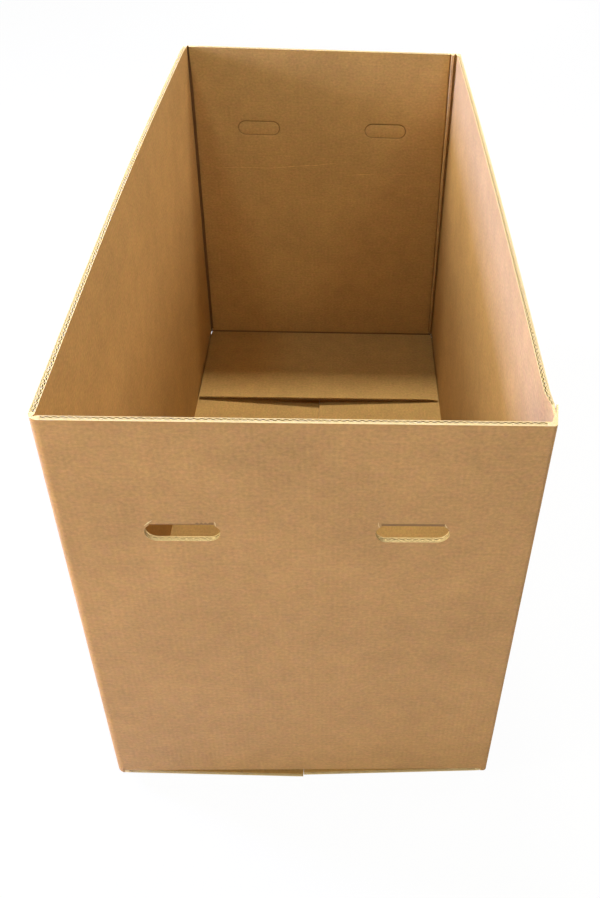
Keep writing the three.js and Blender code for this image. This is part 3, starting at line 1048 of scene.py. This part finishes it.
class BOX_OT_long_flaps(bpy.types.Operator):
    """Build the two long flaps that close the bottom, each hanging a little open"""
    bl_idname = "moving_box.long_flaps"
    bl_label = "Long flaps"

    def execute(self, context):
        layout = layout_of(context)
        reach = layout.half_width - layout.crease - FLAP_SEAM_GAP
        for name, side, pivot, sag in layout.folds:
            flap = Piece(f"long_flap_{name}")
            place = long_flap_place(layout, side, pivot, sag)
            near_edge = HINGE_GAP + CRUSH_LENGTH
            end = layout.half_length - FLAP_END_GAP
            ys = spaced(-end, end, 44)
            vs = [HINGE_GAP, HINGE_GAP + 0.004, near_edge] + spaced(0.03, reach, 10)
            for t, kind in ((0, OUTER), (layout.board, INNER)):
                flap.grid([[spot(place, y, v, t) for y in ys] for v in vs], kind)
            edge = [(ys[-1], v) for v in vs[2:]] + [(y, vs[-1]) for y in ys[-2::-1]]
            edge += [(ys[0], v) for v in vs[-2:1:-1]]
            path = with_normals(edge[::-1])
            cut_edge(flap, place, path, FLAP_DEPTHS, layout.makeup, CUT)
            flap.through(place, [(y, HINGE_GAP) for y in ys], layout.board)
            for y in (ys[0], ys[-1]):
                rows = [[spot(place, y, v, t) for t in (0, layout.board)] for v in vs[:3]]
                flap.grid(rows, CUT)
            fluted_papers(flap, place, path, FLAP_DEPTHS, layout.makeup)
            body = flap.build()
            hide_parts(f"bottom_flap_{name}")
            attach(body, f"{name}_flap")
        return {"FINISHED"}


def long_flap_place(layout, side, pivot, sag):
    """Where a point of a long flap lies, v from its crease, hanging by its sag."""
    def place(u, v, t):
        press = 1.0 - max(0.0, 1 - (v - HINGE_GAP) / CRUSH_LENGTH) * CRUSH_DEPTH / layout.board
        low = (t - layout.crease) * press
        x = v * math.cos(sag) + low * math.sin(sag)
        z = low * math.cos(sag) - v * math.sin(sag)
        return (pivot.x - side * x, u, pivot.z + z)
    return place


class BOX_OT_creases(bpy.types.Operator):
    """Build the liner that bends across each long flap's crease"""
    bl_idname = "moving_box.creases"
    bl_label = "Creases"

    def execute(self, context):
        layout = layout_of(context)
        crease = layout.crease
        ys = spaced(0.001 - layout.nose_y, layout.nose_y - 0.001, 40)
        # Profiles from the pivot, in distance towards the middle and height, and the ends of their bends
        inner = [(crease + 0.0001, 0.0046), (crease + 0.00012, 0.0040), (crease + 0.0004, 0.0034),
                 (crease + 0.0013, 0.0030), (crease + 0.0030, 0.0031), (crease + 0.0046, 0.0033)]
        outer_ends = ((-0.0020, 0.0085), (0.0090, -0.0025))
        inner_ends = ((crease + 0.0002, 0.0040), (crease + 0.0030, 0.0031))
        for name, side, pivot, sag in layout.folds:
            outer = [(-crease - LINER_LIFT, 0.008)]
            outer += arc((0.0, 0.0), crease + LINER_LIFT, 180, 270 - math.degrees(sag), 10)
            x, z = outer[-1]
            outer += [(x + math.cos(sag) * d, z - math.sin(sag) * d) for d in (0.003, 0.006, 0.0095)]
            strips = (("outer", outer, outer_ends, OUTER), ("inner", inner, inner_ends, INNER))
            for face, line, ends, kind in strips:
                strip = Piece(f"crease_{name}_{face}")
                strip.grid([[(pivot.x - side * x, y, pivot.z + z, y, i * 0.002) for y in ys]
                            for i, (x, z) in enumerate(line)], kind)
                body = strip.build()
                start, stop = [(pivot.x - side * x, 0.0, pivot.z + z) for x, z in ends]
                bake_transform(body)
                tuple(start)
                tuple(stop)
        return {"FINISHED"}


class Quantity:
    """A shader socket that takes part in Python arithmetic. Each operation adds its Math node."""

    def __init__(self, finish, socket):
        self.finish = finish
        self.socket = socket

    def math(self, operation, *values):
        settings = {"operation": operation}
        return self.finish.node("ShaderNodeMath", settings, *values)[0]

    def __add__(self, other):
        return self.math("ADD", self, other)

    def __radd__(self, other):
        return self.math("ADD", other, self)

    def __sub__(self, other):
        return self.math("SUBTRACT", self, other)

    def __rsub__(self, other):
        return self.math("SUBTRACT", other, self)

    def __mul__(self, other):
        return self.math("MULTIPLY", self, other)

    def __rmul__(self, other):
        return self.math("MULTIPLY", other, self)

    def sine(self):
        return self.math("SINE", self)

    def clamped(self):
        return self.math("MINIMUM", self.math("MAXIMUM", self, 0.0), 1.0)


class Outputs:
    """A node's outputs by name or number."""

    def __init__(self, finish, node):
        self.finish = finish
        self.node = node

    def __getitem__(self, key):
        return Quantity(self.finish, self.node.outputs[key])


class Finish:
    """A material or world whose nodes are written as expressions."""

    def __init__(self, tree):
        self.tree = tree
        tree.nodes.clear()

    def node(self, kind, settings=None, *values, **named):
        """Adds a node: first its settings, then the values or links of its sockets."""
        made = self.tree.nodes.new(kind)
        for key, value in (settings or {}).items():
            if key == "stops":
                ramp = made.color_ramp.elements
                for element, (position, level) in zip((ramp[0], ramp[1]), value):
                    element.position = position
                    element.color = (level, level, level, 1)
            else:
                setattr(made, key, value)
        for i, value in enumerate(values):
            self.feed(made.inputs[i], value)
        for key, value in named.items():
            self.feed(made.inputs[key.replace("_", " ")], value)
        return Outputs(self, made)

    def feed(self, socket, value):
        """Links a quantity to a socket, or sets the socket to a plain value."""
        if isinstance(value, Quantity):
            self.tree.links.new(value.socket, socket)
        elif value is not None:
            socket.default_value = value

    def noise(self, place, scale, detail=2.0, roughness=0.5):
        """Smooth noise between 0 and 1, with a number of finer layers and their share."""
        return self.node("ShaderNodeTexNoise", None, Vector=place, Scale=scale, Detail=detail,
                         Roughness=roughness)["Fac"]

    def scaled(self, vector, factors):
        """A place or a colour with each of its three parts times a factor."""
        return self.node("ShaderNodeVectorMath", {"operation": "MULTIPLY"}, vector, factors)["Vector"]

    def ramp(self, value, low, high):
        """0 below a low level and 1 above a high one, even in between."""
        return self.node("ShaderNodeValToRGB", {"stops": ((low, 0.0), (high, 1.0))}, value)["Color"]

    def blend(self, share, first, second):
        """A colour between two, by a share."""
        mix = self.node("ShaderNodeMix", {"data_type": "RGBA"})
        self.feed(mix.node.inputs["Factor"], share)
        colours = [socket for socket in mix.node.inputs if socket.type == "RGBA"]
        self.feed(colours[0], first)
        self.feed(colours[1], second)
        return Quantity(self, [socket for socket in mix.node.outputs if socket.type == "RGBA"][0])

    def seen(self):
        """1 for a ray that the camera sees, straight or by way of a shiny or clear thing, else 0."""
        paths = self.node("ShaderNodeLightPath")
        return (paths["Is Camera Ray"] + paths["Is Glossy Ray"] + paths["Is Transmission Ray"]).clamped()

    def paper(self, base, rough, height, strength, gloss):
        """Ends a material as rough paper with a relief."""
        bump = self.node("ShaderNodeBump", None, Strength=strength, Distance=RELIEF, Height=height)["Normal"]
        surface = self.node("ShaderNodeBsdfPrincipled", None, Base_Color=base, Roughness=rough, Normal=bump)
        surface.node.inputs["Specular IOR Level"].default_value = gloss
        self.node("ShaderNodeOutputMaterial", None, surface["BSDF"])


def named_material(name):
    """A material by name, and whether it still has to be made."""
    found = bpy.data.materials.get(name)
    if found:
        return found, False
    made = bpy.data.materials.new(name)
    made.use_nodes = True
    return made, True


def shade(colour, factor):
    """A colour made lighter or darker, with an alpha of 1."""
    return (*[min(1.0, channel * factor) for channel in colour], 1.0)


def kraft_liner(name, colour, fibre, pitch):
    """Kraft liner: cloudy pulp, streaks across the flutes, dark and pale fibres, faint flute lines."""
    material, fresh = named_material(name)
    if not fresh:
        return material
    finish = Finish(material.node_tree)
    place = finish.node("ShaderNodeUVMap", {"uv_map": "board"})["UV"]
    body = finish.node("ShaderNodeTexCoord")["Object"]
    across = finish.node("ShaderNodeSeparateXYZ", None, place)["X"]

    def grain(along, up, detail=2.0, roughness=0.5):
        """Noise in board coordinates, by how many of its cells go in a metre along u and v."""
        return finish.noise(finish.scaled(place, (along, up, 1.0)), 1.0, detail, roughness)

    cloud = finish.noise(body, 7.0, 4.0, 0.6)
    blotch = finish.noise(body, 34.0, 3.0, 0.6)
    mottle = grain(190.0, 250.0, 3.0, 0.66)
    streak = grain(34.0, 300.0, 2.0, 0.6)
    fine = grain(900.0, 1500.0, 2.0, 0.7)
    dark = finish.ramp(grain(420.0, 1300.0), 0.66, 0.74)
    pale = finish.ramp(grain(1100.0, 380.0), 0.66, 0.76)
    drift = 0.0014 * finish.noise(body, 16.0, 2.0)
    flutes = ((across + drift) * (2 * math.pi / pitch)).sine()
    tone = 0.5 + 0.8 * (cloud - 0.5) + 0.8 * (blotch - 0.5) + 2.0 * (mottle - 0.5) + 0.4 * (streak - 0.5)
    tone = tone + 0.03 * flutes
    base = finish.blend(tone.clamped(), shade(colour, 0.81), shade(colour, 1.19))
    warm = finish.ramp(grain(60.0, 95.0, 3.0, 0.6), 0.42, 0.62)
    base = finish.blend(0.5 * warm, base, finish.scaled(base, WARM_TINT))
    base = finish.blend(0.42 * dark, base, shade(fibre, 1.0))
    base = finish.blend(0.22 * pale, base, shade(colour, 1.45))
    height = 0.5 * fine + 0.9 * mottle + 0.2 * streak + 0.16 * flutes
    finish.paper(base, 0.70 + 0.16 * mottle + 0.08 * (1.0 - fine), height, 0.22, 0.32)
    return material


def paper_edge(name, colour, fibre, strength):
    """Cut paper: fuzzy, paler than the liner, with short fibres."""
    material, fresh = named_material(name)
    if not fresh:
        return material
    finish = Finish(material.node_tree)
    body = finish.node("ShaderNodeTexCoord")["Object"]
    fuzz = finish.noise(body, 950.0, 3.0, 0.7)
    patch = finish.noise(body, 140.0, 3.0, 0.6)
    base = finish.blend((0.5 + 1.1 * (patch - 0.5)).clamped(), shade(colour, 0.80), shade(colour, 1.12))
    base = finish.blend(0.5 * finish.ramp(fuzz, 0.58, 0.72), base, shade(fibre, 1.3))
    finish.paper(base, 0.82 + 0.14 * patch, fuzz + 0.5 * patch, strength, 0.2)
    return material


def board_finishes():
    """The finishes of the board, in the order of the kinds of surface."""
    colours = bpy.context.scene.box_colours
    makeup = bpy.context.scene.box_board
    return [
        kraft_liner("kraft_outer_liner", colours.outer, colours.fibre, makeup.outer_pitch),
        kraft_liner("kraft_inner_liner", colours.inner, colours.fibre, makeup.inner_pitch),
        paper_edge("cut_paper_edge", colours.cut, colours.fibre, 0.5),
        # The fluted paper's finish, also used as painted shade in grooves, creases and edges
        paper_edge("fluted_paper", colours.flute, colours.fibre, 0.3),
        kraft_liner("kraft_worn_liner", shade(colours.inner, 1.5)[:3], colours.fibre, makeup.inner_pitch),
    ]


def layout_of(context):
    """The layout for the scene's present sizes."""
    return Layout(context.scene.box_sizes, context.scene.box_board)


def soft_lamp(name, place, aim, size, power, colour):
    """A square area lamp at a place, facing a point."""
    lamp = bpy.data.lights.new(name, "AREA")
    lamp.size = size
    lamp.energy = power
    lamp.color = colour
    holder = bpy.data.objects.new(name, lamp)
    holder.location = place
    holder.rotation_euler = (Vector(aim) - Vector(place)).to_track_quat("-Z", "Y").to_euler()
    bpy.context.scene.collection.objects.link(holder)


class BOX_OT_stage(bpy.types.Operator):
    """Set the white floor, the soft lamps and the camera"""
    bl_idname = "moving_box.stage"
    bl_label = "Stage"

    def execute(self, context):
        scene = context.scene
        light = scene.box_light
        # Floor: it seems white to the camera, and still takes a little of the box's shadow
        mesh = bpy.data.meshes.new("studio_floor")
        corners = [(x * FLOOR_REACH, y * FLOOR_REACH, 0) for x, y in ((-1, -1), (1, -1), (1, 1), (-1, 1))]
        mesh.from_pydata(corners, [], [(0, 1, 2, 3)])
        floor = bpy.data.objects.new("studio_floor", mesh)
        scene.collection.objects.link(floor)
        material, _ = named_material("white_floor")
        finish = Finish(material.node_tree)
        split = finish.node("ShaderNodeSeparateXYZ", None, finish.node("ShaderNodeTexCoord")["Object"])
        beside = split["X"].math("ABSOLUTE", split["X"]) - (scene.box_sizes.width / 2 - SHADOW_SIDE)
        before = split["Y"].math("ABSOLUTE", split["Y"]) - (scene.box_sizes.length / 2 - SHADOW_END)
        clear = (beside.math("MAXIMUM", beside, before) * SHADOW_SHARPNESS).clamped()
        plain = finish.node("ShaderNodeBsdfDiffuse", None, Color=(0.80, 0.80, 0.80, 1))["BSDF"]
        white = finish.node("ShaderNodeEmission", None, Color=(1, 1, 1, 1), Strength=1.0)["Emission"]
        share = FLOOR_WHITE * finish.seen() * clear
        both = finish.node("ShaderNodeMixShader", None, share, plain, white)
        finish.node("ShaderNodeOutputMaterial", None, both["Shader"])
        mesh.materials.append(material)
        # World: even light, and white behind everything
        world = bpy.data.worlds.new("studio")
        scene.world = world
        world.use_nodes = True
        finish = Finish(world.node_tree)
        room = finish.node("ShaderNodeBackground", None, Color=(1.0, 0.98, 0.95, 1), Strength=light.room)
        white = finish.node("ShaderNodeBackground", None, Color=(1, 1, 1, 1), Strength=1.0)
        room, white = room["Background"], white["Background"]
        both = finish.node("ShaderNodeMixShader", None, finish.seen(), room, white)
        finish.node("ShaderNodeOutputWorld", None, both["Shader"])
        # Lamps
        for name, place, aim, size, colour in LAMPS:
            soft_lamp(f"lamp_{name}", place, aim, size, getattr(light, name), colour)
        # Camera
        lens = bpy.data.cameras.new("camera")
        lens.sensor_width = 36.0
        lens.lens = CAMERA_LENS
        lens.shift_x, lens.shift_y = CAMERA_SHIFT
        lens.clip_start = 0.05
        lens.clip_end = 60.0
        camera = bpy.data.objects.new("camera", lens)
        camera.matrix_world = camera_place()
        scene.collection.objects.link(camera)
        scene.camera = camera
        scene.view_settings.view_transform = "Standard"
        return {"FINISHED"}


def camera_place():
    """The camera's matrix, from its place and turns."""
    turn = Matrix.Identity(3)
    for axis, angle in CAMERA_TURNS:
        turn = turn @ Matrix.Rotation(angle, 3, axis)
    right, ahead, up = turn.col
    axes = Matrix((right, up, -ahead)).transposed().to_4x4()
    axes.translation = Vector(CAMERA_PLACE)
    return axes


class BOX_PT_panel(bpy.types.Panel):
    """Sizes, board, colours and light of the moving box, and the steps that build it"""
    bl_idname = "BOX_PT_panel"
    bl_label = "Moving Box"
    bl_space_type = "VIEW_3D"
    bl_region_type = "UI"
    bl_category = "Moving Box"

    def draw(self, context):
        for name in GROUPS:
            group = getattr(context.scene, name)
            column = self.layout.box().column()
            for prop in group.bl_rna.properties:
                if prop.identifier not in ("rna_type", "name"):
                    column.prop(group, prop.identifier)
        for operator in STEPS:
            self.layout.operator(operator.bl_idname)


GROUPS = {
    "box_sizes": BoxSizes,
    "box_board": BoardMakeup,
    "box_colours": BoardColours,
    "box_light": StudioLight,
}
STEPS = (BOX_OT_walls, BOX_OT_rim_flutes, BOX_OT_tabs, BOX_OT_end_flaps, BOX_OT_long_flaps,
         BOX_OT_creases, BOX_OT_stage)
CLASSES = (*GROUPS.values(), *STEPS, BOX_PT_panel)


def register():
    for cls in CLASSES:
        bpy.utils.register_class(cls)
    for name, group in GROUPS.items():
        setattr(bpy.types.Scene, name, PointerProperty(type=group))


def unregister():
    for name in GROUPS:
        delattr(bpy.types.Scene, name)
    for cls in reversed(CLASSES):
        bpy.utils.unregister_class(cls)


def main():
    register()
    bpy.ops.moving_box.walls()
    bpy.ops.moving_box.rim_flutes()
    bpy.ops.moving_box.tabs()
    bpy.ops.moving_box.end_flaps()
    bpy.ops.moving_box.long_flaps()
    bpy.ops.moving_box.creases()
    bpy.ops.moving_box.stage()


if __name__ == "__main__":
    main()
